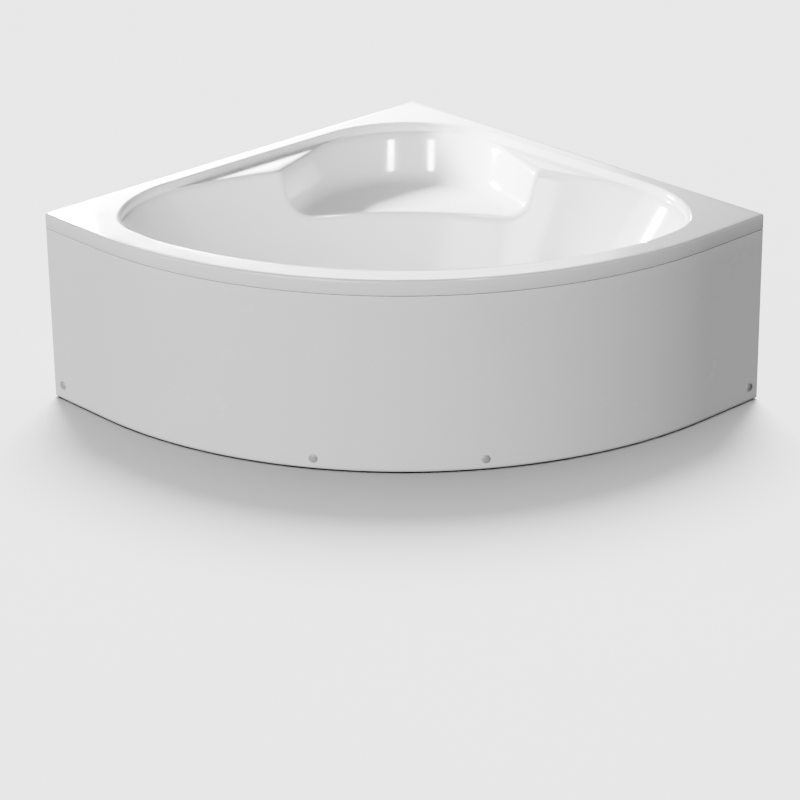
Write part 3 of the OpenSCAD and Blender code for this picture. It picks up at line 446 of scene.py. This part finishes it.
def make_shell():
    """The acrylic shell as one closed mesh: upper side, round edge, lip and underside."""
    a = shell_angles()
    radii = shell_radii(a)
    n = len(a)
    grid = a[:, None] + np.zeros_like(radii)
    top = height_at(grid, radii)
    under = top - drop_at(grid, radii)

    def ring(r, z):
        return np.stack([r * np.cos(a), r * np.sin(a) + HUB_Y + CORNER_Y, z + np.zeros(n)], 1)

    rings = [ring(radii[:, k], top[:, k]) for k in range(radii.shape[1])]
    for t in np.linspace(0, math.pi / 2, 7)[1:]:
        d = EDGE_ROUND * (1 - math.sin(t))
        rings.append(ring(outline(a, d), TUB_HEIGHT - EDGE_ROUND * (1 - math.cos(t))))
    lip_low = TUB_HEIGHT - LIP_HEIGHT
    lip_round = 0.0015
    for d, drop in ((0, lip_round), (lip_round * 0.3, lip_round * 0.3), (lip_round, 0),
                    (SHELL_T - lip_round, 0), (SHELL_T - lip_round * 0.3, lip_round * 0.3),
                    (SHELL_T, lip_round)):
        rings.append(ring(outline(a, d), lip_low + drop))
    upper_count = len(rings)
    rings.append(ring(outline(a, SHELL_T), TUB_HEIGHT - SHELL_T))
    rings += [ring(radii[:, k], under[:, k]) for k in range(radii.shape[1] - 2, -1, -2)]
    points = np.concatenate(rings + [[[0, HUB_Y + CORNER_Y, FLOOR_Z]],
                                     [[0, HUB_Y + CORNER_Y, FLOOR_Z - SHELL_T]]])
    faces = []
    for k in range(len(rings) - 1):
        faces += ring_faces(n, k * n, (k + 1) * n).tolist()
    last = (len(rings) - 1) * n
    faces += [[n * len(rings), i, (i + 1) % n] for i in range(n)]
    faces += [[n * len(rings) + 1, last + (i + 1) % n, last + i] for i in range(n)]
    shell = mesh_object("shell_skin", points, faces, SHELL_SHARP)
    shell.data.materials.append(acrylic("shell_gloss", 0.86, 0.11))
    shell.data.materials.append(glass_fibre())
    under_face = np.zeros(len(shell.data.polygons), np.int32)
    under_face[(upper_count - 1) * n:(len(rings) - 1) * n] = 1
    under_face[-n:] = 1
    shell.data.polygons.foreach_set("material_index", under_face)
    cut_with(shell, rod("waste_cut", waste_matrix(), WASTE_BORE_R, FLOOR_Z - CUT_IN, FLOOR_Z + CUT_IN))
    cut_with(shell, rod("overflow_cut", overflow_matrix(), OVERFLOW_BORE_R, -CUT_IN, CUT_OUT))
    shell.data.set_sharp_from_angle(angle=SHELL_SHARP)
    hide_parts("tub_shell")
    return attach(shell, "root")


def bow_place(turn):
    """Point on the bow and its outward direction, turn from the middle."""
    out = Vector((math.sin(turn), -math.cos(turn), 0))
    return Vector((0, FRONT_C + CORNER_Y, 0)) + out * FRONT_R, out


def end_place(u, side):
    """Point on the straight front, u from the plan corner, and its outward direction."""
    out = Vector((side * HALF_ROOT, -HALF_ROOT, 0))
    corner = Vector((side * HALF_W, -HALF_W + CORNER_Y, 0))
    return corner + Vector((-side * HALF_ROOT, -HALF_ROOT, 0)) * u, out


def front_path():
    """Stations along the front from the left plan corner to the right one."""
    straight = np.linspace(PANEL_END_GAP, CORNER_STRAIGHT, STRAIGHT_STATIONS)
    left = [end_place(u, -1) for u in straight]
    turns = np.linspace(-math.pi / 4, math.pi / 4, BOW_STATIONS)
    bow = [bow_place(t) for t in turns[1:-1]]
    return left + bow + [end_place(u, 1) for u in reversed(straight)]


def rounded_section():
    """Section of the panel: depth behind the lip's face, and height."""
    r = PANEL_EDGE_ROUND
    face, back = PANEL_INSET, PANEL_INSET + PANEL_T
    corner = [(1 - math.sin(t), 1 - math.cos(t)) for t in np.linspace(0, math.pi / 2, 6)]
    low = [(face + r * x, PANEL_LOW + r * z) for x, z in corner]
    high = [(face + r * x, PANEL_TOP - r * z) for x, z in reversed(corner)]
    deep_top, deep_foot = PANEL_INSET + TOP_RETURN, PANEL_INSET + FOOT_RETURN
    inner = [(deep_top, PANEL_TOP), (deep_top, PANEL_TOP - PANEL_T), (back, PANEL_TOP - PANEL_T),
             (back, PANEL_LOW + PANEL_T), (deep_foot, PANEL_LOW + PANEL_T), (deep_foot, PANEL_LOW)]
    heights = np.linspace(PANEL_LOW + r, PANEL_TOP - r, 14)[1:-1]
    return low + [(face, z) for z in heights] + high + inner


def screw_matrices():
    """Frames of the four panel screws, Z pointing out of the lip's face."""
    turn = math.asin(MIDDLE_SCREW_X / FRONT_R)
    places = [(bow_place(s * turn), SCREW_Z) for s in (-1, 1)]
    places += [(end_place(END_SCREW_U, s), END_SCREW_Z) for s in (-1, 1)]
    made = []
    for (point, out), z in places:
        spin = out.to_track_quat("Z", "Y").to_matrix().to_4x4()
        made.append(Matrix.Translation(point + Vector((0, 0, z))) @ spin)
    return made


def make_panel():
    """The curved front panel, swept along the front, with its edges turned in."""
    section = rounded_section()
    path = front_path()
    m = len(section)
    points = [p - out * d + Vector((0, 0, z)) for p, out in path for d, z in section]
    faces = []
    for k in range(len(path) - 1):
        for i in range(m):
            j = (i + 1) % m
            faces.append((k * m + i, (k + 1) * m + i, (k + 1) * m + j, k * m + j))
    last = (len(path) - 1) * m
    faces += [list(range(m)), list(reversed(range(last, last + m)))]
    panel = mesh_object("panel_skin", points, faces)
    for place in screw_matrices():
        cut_with(panel, rod("screw_cut", place, SCREW_R + SCREW_ROOM, -CUT_IN, CUT_OUT, 24))
    panel.data.set_sharp_from_angle(angle=SHARP)
    panel.data.materials.clear()
    panel.data.materials.append(acrylic("panel_gloss", 0.84, 0.24))
    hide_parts("front_panel")
    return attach(panel, "root")


def make_caps():
    """Domed caps that snap over the panel's screws."""
    turns = np.linspace(0.15, 1.25, 12)
    dome = [(0, CAP_H)] + [(CAP_R * math.sin(t), CAP_H * math.cos(t) ** 0.8) for t in turns]
    room = [(CAP_ROOM_R, 0), (CAP_ROOM_R, CAP_ROOM_H), (0, CAP_ROOM_H)]
    profile = dome + [(CAP_R, CAP_EDGE_H), (CAP_R, 0)] + room
    base = [place @ Matrix.Translation((0, 0, -PANEL_INSET)) for place in screw_matrices()]
    caps = lathe("cap_domes", base, profile, 64)
    caps.data.materials.append(plastic("cap_grey", (0.36, 0.36, 0.37), 0.28))
    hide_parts("screw_caps")
    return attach(caps, "root")


class Nodes:
    """Shorthand for building one node material."""

    def __init__(self, name):
        self.material = bpy.data.materials.new(name)
        self.material.use_nodes = True
        self.tree = self.material.node_tree
        self.shader = self.tree.nodes["Principled BSDF"]
        self.place = self.add("ShaderNodeTexCoord").outputs["Object"]

    def add(self, kind, **values):
        node = self.tree.nodes.new(kind)
        for key, value in values.items():
            if key in node.inputs:
                node.inputs[key].default_value = value
            else:
                setattr(node, key, value)
        return node

    def link(self, source, target):
        self.tree.links.new(source, target)

    def stretched(self, scale):
        node = self.add("ShaderNodeMapping")
        node.inputs["Scale"].default_value = scale
        self.link(self.place, node.inputs["Vector"])
        return node.outputs["Vector"]

    def noise(self, scale, detail=3.0, place=None):
        node = self.add("ShaderNodeTexNoise", Scale=scale, Detail=detail)
        self.link(place or self.place, node.inputs["Vector"])
        return node.outputs["Fac"]

    def spread(self, source, low, high, start=0.3, stop=0.7):
        """Maps a texture onto numbers from low to high."""
        node = self.add("ShaderNodeMapRange")
        node.inputs["From Min"].default_value = start
        node.inputs["From Max"].default_value = stop
        node.inputs["To Min"].default_value = low
        node.inputs["To Max"].default_value = high
        self.link(source, node.inputs["Value"])
        return node.outputs["Result"]

    def colours(self, source, first, second, start=0.35, stop=0.65):
        ramp = self.add("ShaderNodeValToRGB")
        for element, place, colour in zip(ramp.color_ramp.elements, (start, stop), (first, second)):
            element.position = place
            element.color = (*colour, 1)
        self.link(source, ramp.inputs["Fac"])
        self.link(ramp.outputs["Color"], self.shader.inputs["Base Color"])

    def bump(self, height, strength, distance):
        node = self.add("ShaderNodeBump", Strength=strength, Distance=distance)
        self.link(height, node.inputs["Height"])
        self.link(node.outputs["Normal"], self.shader.inputs["Normal"])

    def paint_crease_shade(self, reach, least):
        """Paints shade into the base colour: darker where narrow creases and gaps shut off the near
        surroundings.
        """
        # Painted shade: the ambient occlusion scales the base colour down in creases and gaps, where
        # shade falls.
        base = self.shader.inputs["Base Color"]
        colour = base.links[0].from_socket
        open_part = self.add("ShaderNodeAmbientOcclusion", Distance=reach, samples=8).outputs["AO"]
        product = self.add("ShaderNodeVectorMath", operation="MULTIPLY")
        self.link(colour, product.inputs[0])
        self.link(self.spread(open_part, least, 1, 0.35, 0.85), product.inputs[1])
        self.link(product.outputs["Vector"], base)

    def rough(self, source):
        self.link(source, self.shader.inputs["Roughness"])

    def fixed(self, **values):
        for key, value in values.items():
            self.shader.inputs[key.replace("_", " ")].default_value = value


def acrylic(name, white, gloss):
    """White cast acrylic: faint cloudiness, a slow ripple and a fine orange peel under the gloss, and
    painted shade darkening its creases.
    """
    made = Nodes(name)
    made.colours(made.noise(3.0, 4), (white, white, white), (white + 0.02, white + 0.02, white + 0.018))
    made.rough(made.spread(made.noise(9.0, 5), gloss * 0.85, gloss * 1.2))
    made.fixed(IOR=1.49)
    made.bump(made.noise(420.0, 2), 0.02, 0.0002)
    # Painted shade: the acrylic's colour is darkened in creases and gaps, where shade falls.
    made.paint_crease_shade(0.02, 0.15)
    return made.material


def glass_fibre():
    """Resin with chopped glass fibre sprayed on the shell's underside."""
    made = Nodes("glass_fibre")
    strands = made.noise(60.0, 6, made.stretched((1, 3, 1)))
    made.colours(strands, (0.55, 0.53, 0.44), (0.74, 0.72, 0.64))
    made.rough(made.spread(made.noise(30.0, 4), 0.45, 0.7))
    made.bump(strands, 0.6, 0.0012)
    return made.material


def plastic(name, colour, gloss):
    """Moulded plastic: a fine grain and faint flow marks."""
    made = Nodes(name)
    flow = made.noise(14.0, 3, made.stretched((1, 1, 4)))
    made.colours(flow, tuple(c * 0.95 for c in colour), tuple(min(1, c * 1.04) for c in colour))
    made.rough(made.spread(made.noise(60.0, 3), gloss * 0.85, gloss * 1.2))
    made.bump(made.noise(900.0, 2), 0.08, 0.0002)
    return made.material


def rubber(name, colour):
    """Soft seal rubber with a dull bloom."""
    made = Nodes(name)
    made.colours(made.noise(90.0, 4), colour, tuple(c * 1.7 for c in colour))
    made.rough(made.spread(made.noise(200.0, 3), 0.62, 0.85))
    made.bump(made.noise(1400.0, 2), 0.15, 0.0002)
    return made.material


def chrome():
    """Polished chrome with faint wipe marks."""
    made = Nodes("chrome")
    made.fixed(Metallic=1.0)
    made.colours(made.noise(40.0, 3), (0.82, 0.83, 0.85), (0.88, 0.89, 0.90))
    made.rough(made.spread(made.noise(70.0, 5, made.stretched((1, 6, 1))), 0.035, 0.11))
    return made.material


def zinc():
    """Zinc plate: small spangles and a dull sheen."""
    made = Nodes("zinc")
    made.fixed(Metallic=1.0)
    spangle = made.add("ShaderNodeTexVoronoi", Scale=260.0)
    made.link(made.place, spangle.inputs["Vector"])
    made.colours(spangle.outputs["Color"], (0.52, 0.53, 0.55), (0.68, 0.69, 0.70), 0.2, 0.8)
    made.rough(made.spread(made.noise(110.0, 4), 0.28, 0.48))
    return made.material


def powder_coat():
    """Grey powder coat: a fine pebbled film over steel tube."""
    made = Nodes("powder_coat")
    made.colours(made.noise(12.0, 3), (0.36, 0.38, 0.40), (0.41, 0.43, 0.45))
    made.rough(made.spread(made.noise(300.0, 3), 0.42, 0.6))
    made.bump(made.noise(700.0, 3), 0.25, 0.0003)
    return made.material


def chipboard():
    """Raw chipboard: pale flakes lying every way in a darker binder."""
    made = Nodes("chipboard")
    flakes = made.add("ShaderNodeTexVoronoi", Scale=130.0)
    made.link(made.stretched((1, 1, 2.2)), flakes.inputs["Vector"])
    made.colours(flakes.outputs["Color"], (0.36, 0.25, 0.14), (0.68, 0.54, 0.36), 0.15, 0.8)
    made.rough(made.spread(made.noise(80.0, 4), 0.7, 0.92))
    made.bump(flakes.outputs["Distance"], 0.35, 0.0006)
    return made.material


def dress_nodes():
    """Gives every CAD node that stays in view its material, and rounds off its shading."""
    by_slot = {
        "board": chipboard(),
        "frame_steel": powder_coat(),
        "zinc": zinc(),
        "foot_plastic": plastic("foot_black", (0.035, 0.035, 0.038), 0.45),
        "chrome": chrome(),
        "pipe_plastic": plastic("pipe_grey", (0.62, 0.62, 0.60), 0.38),
        "nut_plastic": plastic("nut_white", (0.80, 0.80, 0.78), 0.32),
        "seal_rubber": rubber("seal_black", (0.03, 0.03, 0.03)),
        "cable_sheath": rubber("sheath_black", (0.02, 0.02, 0.022)),
    }
    own_mesh = ("shell_acrylic", "panel_acrylic", "cap_plastic")
    for part in frame["record"]["subparts"]:
        if part["material_slot"] in own_mesh:
            continue
        node = frame["nodes"][part["node"]]
        node.data.materials.clear()
        node.data.materials.append(by_slot[part["material_slot"]])
        node.data.shade_smooth()
        node.data.set_sharp_from_angle(angle=CAD_SHARP)


# Camera of the photo, and its focal length in pixels of the 800 pixel frame
FRAME_PX = 800
SENSOR_MM = 36
FARTHEST = 60
FOCAL_PX = 3096.42
CAMERA_PLACE = (0.30301, -8.80703, 3.74023)
CAMERA_YAW = 0.037216
CAMERA_PITCH = 0.412956
CAMERA_ROLL = -0.011829


def make_camera():
    """Camera at the photo's angle. Yaw, pitch and roll are in radians."""
    data = bpy.data.cameras.new("camera")
    data.sensor_width = SENSOR_MM
    data.lens = SENSOR_MM * FOCAL_PX / FRAME_PX
    cam = bpy.data.objects.new("camera", data)
    ahead = Vector((-math.sin(CAMERA_YAW) * math.cos(CAMERA_PITCH),
                    math.cos(CAMERA_YAW) * math.cos(CAMERA_PITCH), -math.sin(CAMERA_PITCH)))
    level = Vector((math.cos(CAMERA_YAW), math.sin(CAMERA_YAW), 0))
    up = level.cross(ahead)
    right = level * math.cos(CAMERA_ROLL) + up * math.sin(CAMERA_ROLL)
    top = -level * math.sin(CAMERA_ROLL) + up * math.cos(CAMERA_ROLL)
    turned = Matrix((right, top, -ahead)).transposed().to_4x4()
    cam.matrix_world = Matrix.Translation(CAMERA_PLACE) @ turned
    data.clip_end = FARTHEST
    bpy.context.scene.collection.objects.link(cam)
    bpy.context.scene.camera = cam


def lamp_from(name, kind, azimuth, elevation, target, distance, **values):
    """Lamp that shines at a target. Azimuth is counted from +X, and both angles are in degrees."""
    a, e = math.radians(azimuth), math.radians(elevation)
    towards = Vector((math.cos(a) * math.cos(e), math.sin(a) * math.cos(e), math.sin(e)))
    data = bpy.data.lights.new(name, kind)
    for key, value in values.items():
        setattr(data, key, value)
    lamp = bpy.data.objects.new(name, data)
    aim = towards.to_track_quat("Z", "Y").to_matrix().to_4x4()
    lamp.matrix_world = Matrix.Translation(Vector(target) + towards * distance) @ aim
    lamp.visible_camera = False
    bpy.context.scene.collection.objects.link(lamp)
    return lamp


def make_floor():
    """Wide pale floor. It sends no bounce light to the tub and shows in no reflection on it."""
    half = 14
    corners = [(-half, -half, 0), (half, -half, 0), (half, half, 0), (-half, half, 0)]
    floor = mesh_object("floor", corners, [(0, 1, 2, 3)])
    pale = Nodes("floor_pale")
    pale.colours(pale.noise(0.4, 2), (0.545, 0.545, 0.55), (0.555, 0.555, 0.56))
    pale.fixed(Roughness=0.9)
    floor.data.materials.append(pale.material)
    floor.visible_diffuse = False
    floor.visible_glossy = False
    return floor


def receivers(name, floor, alone):
    """Light linking group: the floor alone, or everything but the floor."""
    group = bpy.data.collections.new(name)
    group.objects.link(floor)
    if not alone:
        group.collection_objects[0].light_linking.link_state = "EXCLUDE"
    return group


SKY_STRENGTH = 0.02
# Lamps of the tub: name, kind, azimuth, elevation, target, distance and settings.
# Those named shine are seen in reflections alone.
TUB_MID = (0, 0, 0.4)
TUB_LAMPS = [
    ("key", "AREA", 148, 25, (0, 0.35, 0.45), 1.6, {"energy": 440, "size": 0.22}),
    ("front", "SUN", -112, 15, TUB_MID, 8, {"energy": 3.7, "angle": math.radians(30)}),
    ("left", "SUN", -155, 15, TUB_MID, 8, {"energy": 1.4, "angle": math.radians(20)}),
    ("shine_left", "SUN", 98, 15, TUB_MID, 8, {"energy": 3.1, "angle": math.radians(8)}),
    ("shine_mid", "SUN", 92, 20, TUB_MID, 8, {"energy": 0.22, "angle": math.radians(8)}),
    ("shine_bar_left", "SUN", -57.6, 65.1, TUB_MID, 8, {"energy": 1.6, "angle": math.radians(4)}),
    ("shine_bar_right", "SUN", -129.8, 63.4, TUB_MID, 8, {"energy": 1.6, "angle": math.radians(4)}),
    ("shine_basin", "SUN", -130, 27, TUB_MID, 8, {"energy": 1.2, "angle": math.radians(12)}),
]
# Lamps of the floor. They stand behind the tub, so its soft shadow falls forward.
FLOOR_LAMPS = [
    ("floor_back", "SUN", 90, 50, TUB_MID, 8, {"energy": 18.9, "angle": math.radians(30)}),
    ("floor_top", "SUN", 90, 65, TUB_MID, 8, {"energy": 6.2, "angle": math.radians(80)}),
]


def make_studio():
    """Floor, faint even sky, and one set of lamps each for the tub and the floor."""
    floor = make_floor()
    world = bpy.data.worlds.new("studio")
    bpy.context.scene.world = world
    world.use_nodes = True
    sky = world.node_tree.nodes["Background"]
    sky.inputs["Color"].default_value = (1, 1, 1, 1)
    sky.inputs["Strength"].default_value = SKY_STRENGTH
    for lamps, group in ((TUB_LAMPS, receivers("all_but_floor", floor, False)),
                         (FLOOR_LAMPS, receivers("floor_alone", floor, True))):
        for name, kind, azimuth, elevation, target, distance, values in lamps:
            lamp = lamp_from(name, kind, azimuth, elevation, target, distance, **values)
            lamp.light_linking.receiver_collection = group
            lamp.visible_diffuse = not name.startswith("shine")


make_camera()
make_shell()
make_panel()
make_caps()
dress_nodes()
make_studio()
